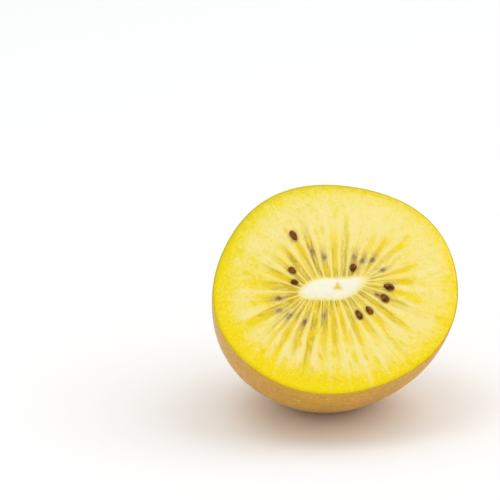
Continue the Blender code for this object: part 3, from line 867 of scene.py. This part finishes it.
    face = np.concatenate([plan, height[..., None]], -1)
    back_share = np.linspace(0, 1, BACK_RINGS + 1)[1:-1] ** 0.9
    deep, around_back = np.meshgrid(back_share, bearing, indexing="ij")
    inset = 1 - SKIN_THICKNESS / WIDE_RADIUS * 1.6
    back = skin_surface(deep, around_back) * inset
    rows = np.concatenate([face, back])
    masks = {
        "gold": gold, "olive_rim": olive_rim, "ripe": table["ripe"][cell], "chamber": chamber, "lines": lines,
        "spot": spot, "fleck": fleck, "ray": ray, "seed_smear_and_shade": seed_smear_and_shade, "veil": veil, "core": core,
        "core_spot": core_spot, "amber": amber, "spot_gold": spot_gold, "lemon": lemon,
    }
    blank = np.zeros(back.shape[:2])
    masks = {name: np.concatenate([np.clip(values, 0, 1), blank]) for name, values in masks.items()}
    flow = np.concatenate([flow, np.repeat(flow[-1:], len(back), 0)])
    middle = face[0].mean(0)
    tip = np.array([0, 0, back[-1][:, 2].mean() + 0.0030])
    mesh = ring_mesh("flesh", rows, masks, middle, tip, flow)
    return mesh, face


# Skin

def make_skin():
    """The skin: a lip at the cut, the dome, and the hollow at the stem end."""
    bearing = np.linspace(0, TURN, SKIN_SEGMENTS, endpoint=False)
    shares, turn = np.meshgrid(np.linspace(0, 1, SKIN_RINGS + 1) ** 1.05, bearing, indexing="ij")
    dome = skin_surface(shares, turn)
    stem_shares, stem_turn = np.meshgrid(np.arange(1, STEM_RINGS) / STEM_RINGS, bearing, indexing="ij")
    stem = stem_surface(stem_shares, stem_turn)

    ragged = cloudy(bearing / TURN * 220, np.zeros_like(bearing), 91, 220, 3)
    inner = section(bearing)
    norm = np.linalg.norm(inner, axis=-1, keepdims=True)
    rows = []
    for inset, depth in LIP:
        ring = inner * (1 - inset / norm)
        drop = -depth + LIP_RAGGED * ragged * (depth < LIP_RAGGED_DEPTH)
        rows.append(np.concatenate([ring, drop[:, None]], -1))
    lip = np.array(rows)
    points = np.concatenate([lip, dome, stem])
    distance = np.concatenate([np.zeros(lip.shape[:2]), shares, np.ones(stem.shape[:2])])
    lip_mask = np.exp(-distance / 0.006) * 0.8
    lip_turn = np.broadcast_to(bearing + SECTION_ROLL, distance.shape)
    # The top of the cut's lip: green-yellow, and lightened as painted light over its shade
    lip_green_and_painted_light = smooth(0.55 + 0.9 * np.cos(lip_turn - math.radians(110)))
    # The upper side of the fruit: partly a sun blush, partly painted light that makes its top lighter and
    # paler
    upper_blush_and_painted_light = smooth(0.50 + 0.75 * np.sin(lip_turn))
    stem_mask = np.concatenate([np.zeros(lip.shape[:2]), smooth((shares - 0.90) / 0.1) * 0.35,
                                0.35 + 0.65 * smooth((stem_shares - 0.2) / 0.3)])
    tip = np.array([0, 0, stem[-1][:, 2].mean()])
    masks = {"lip": lip_mask, "lip_green_and_painted_light": lip_green_and_painted_light, "stem": stem_mask, "upper_blush_and_painted_light": upper_blush_and_painted_light}
    return ring_mesh("skin", points, masks, None, tip)


# Seeds

def make_seeds(seeds, face):
    """The seeds that stand proud of the cut, as one mesh."""
    tree = KDTree(face.shape[0] * face.shape[1])
    for index, point in enumerate(face.reshape(-1, 3)):
        tree.insert(point, index)
    tree.balance()
    joined = bmesh.new()
    tone = joined.verts.layers.float.new("tone")
    draw = random.Random(17)
    for x, y, turn, length, width, proud in seeds:
        if proud < PROUD_SHARE:
            continue
        level = tree.find((x, y, 0))[0].z
        made = bmesh.ops.create_icosphere(joined, subdivisions=5, radius=1)
        shade = draw.uniform(0, 1)
        place = Matrix.Translation((x, y, level + SEED_THICKNESS * (proud - 0.5)))
        place = place @ Matrix.Rotation(turn, 4, "Z") @ Matrix.Rotation(draw.uniform(-0.15, 0.15), 4, "Y")
        for vert in made["verts"]:
            co = vert.co.copy()
            narrowing = 1 - SEED_NARROWING * float(smooth(0.5 - co.x / 2))
            ripple = 1 + 0.025 * noise.noise(co * 2.5 + Vector((x * 900, 0, 0)))
            vert.co = place @ (Vector((
                co.x * length / 2, co.y * width / 2 * narrowing, co.z * SEED_THICKNESS / 2 * narrowing,
            )) * ripple)
            vert[tone] = shade
    mesh = bpy.data.meshes.new("seeds")
    joined.to_mesh(mesh)
    joined.free()
    mesh.shade_smooth()
    return mesh


# Stem scar

def make_scar():
    """The dry, fibrous disc and collar left where the stem came off."""
    bearing = np.linspace(0, TURN, SCAR_SEGMENTS, endpoint=False)
    radii = np.linspace(SCAR_EDGE, SCAR_MIDDLE, SCAR_RINGS)
    radius, turn = np.meshgrid(radii, bearing, indexing="ij")
    share = 1 - radius * COLLAR_RADIUS / HOLLOW_RADIUS
    points = stem_surface(share, turn)
    crack = cloudy(turn / TURN * 40, radius * 3, 101, 40, 3)
    flake = cloudy(turn / TURN * 90, radius * 9, 111, 90, 2)
    cover = smooth((SCAR_EDGE - radius) / SCAR_EDGE_FADE)
    points[..., 2] -= cover * (0.00010 + 0.00012 * np.abs(crack) + 0.00005 * flake) - (1 - cover) * 0.00004
    tip = np.array([0, 0, points[-1][:, 2].mean()])
    return ring_mesh("stem_scar", points, {}, None, tip)


# Laying down, camera and light

def lay_down(pieces):
    """Leans the fruit as the solid leans, over the same place, and presses its skin flat where it rests."""
    low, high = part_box(NODE)
    lean = Matrix.Rotation(FACE_LEAN, 4, "X")
    skin = pieces["skin"].data
    points = np.array([lean @ vert.co for vert in skin.vertices])
    least, most = points.min(0), points.max(0)
    shift_x = (low.x + high.x) / 2 - (least[0] + most[0]) / 2
    shift_y = (low.y + high.y) / 2 - (least[1] + most[1]) / 2
    shift = Vector((shift_x, shift_y, high.z - most[2]))
    place = Matrix.Translation(shift) @ lean
    for piece in pieces.values():
        mesh = piece.data
        mesh.transform(place)
        for vert in mesh.vertices:
            vert.co.z = max(vert.co.z, 0.0)
        mesh.update()
    return place


def aim(obj, target):
    obj.rotation_euler = (Vector(target) - obj.location).to_track_quat("-Z", "Y").to_euler()


def add_light(name, location, size, power):
    light = bpy.data.lights.new(name, "AREA")
    light.shape = "DISK"
    light.size = size
    light.energy = power
    lamp = bpy.data.objects.new(name, light)
    bpy.context.scene.collection.objects.link(lamp)
    lamp.location = location
    aim(lamp, LIGHT_TARGET)


def add_camera(place):
    """A long lens at the picture's angle, with the cut face where the picture has it."""
    right, up, back = view_axes()
    camera = bpy.data.cameras.new("camera")
    camera.sensor_width = SENSOR_WIDTH
    camera.lens = SENSOR_WIDTH * CAMERA_DISTANCE / FRAME_WIDTH
    camera.clip_start = CLIP_START
    camera.clip_end = CLIP_END
    eye = bpy.data.objects.new("camera", camera)
    bpy.context.scene.collection.objects.link(eye)
    face_middle = place @ Vector((0, 0, 0))
    left_of_face = (FACE_PIXEL[0] / FRAME_PIXELS - 0.5) * FRAME_WIDTH
    above_face = (FACE_PIXEL[1] / FRAME_PIXELS - 0.5) * FRAME_WIDTH
    eye.location = face_middle - right * left_of_face + up * above_face + back * CAMERA_DISTANCE
    eye.rotation_euler = (-back).to_track_quat("-Z", "Y").to_euler()
    bpy.context.scene.camera = eye


def add_stage():
    """A plain pale floor, an even white sky and soft studio light."""
    mesh = bpy.data.meshes.new("floor")
    ring = []
    for side in range(FLOOR_SIDES):
        turn = side / FLOOR_SIDES * TURN
        ring.append((FLOOR_RADIUS * math.cos(turn), FLOOR_RADIUS * math.sin(turn), -FLOOR_DROP))
    mesh.from_pydata(ring, [], [list(range(FLOOR_SIDES))])
    floor = bpy.data.objects.new("floor", mesh)
    bpy.context.scene.collection.objects.link(floor)
    n = Nodes("floor")
    mesh.materials.append(n.set(Base_Color=FLOOR_COLOUR, Roughness=0.9, Specular_IOR_Level=0.1))
    world = bpy.data.worlds.new("world")
    bpy.context.scene.world = world
    world.use_nodes = True
    sky = world.node_tree.nodes["Background"]
    sky.inputs["Color"].default_value = (1, 1, 1, 1)
    sky.inputs["Strength"].default_value = SKY_STRENGTH
    for name, location, size, power in LIGHTS:
        add_light(name, location, size, power)
    bpy.context.scene.view_settings.view_transform = "Standard"


def main():
    seeds = seed_places()
    flesh, face = make_flesh(seeds)
    pieces = {
        "flesh": add_piece("flesh", flesh, flesh_material()),
        "skin": add_piece("skin", make_skin(), skin_material()),
        "seeds": add_piece("seeds", make_seeds(seeds, face), seed_material()),
        "stem_scar": add_piece("stem_scar", make_scar(), scar_material()),
    }
    place = lay_down(pieces)
    add_camera(place)
    add_stage()


main()
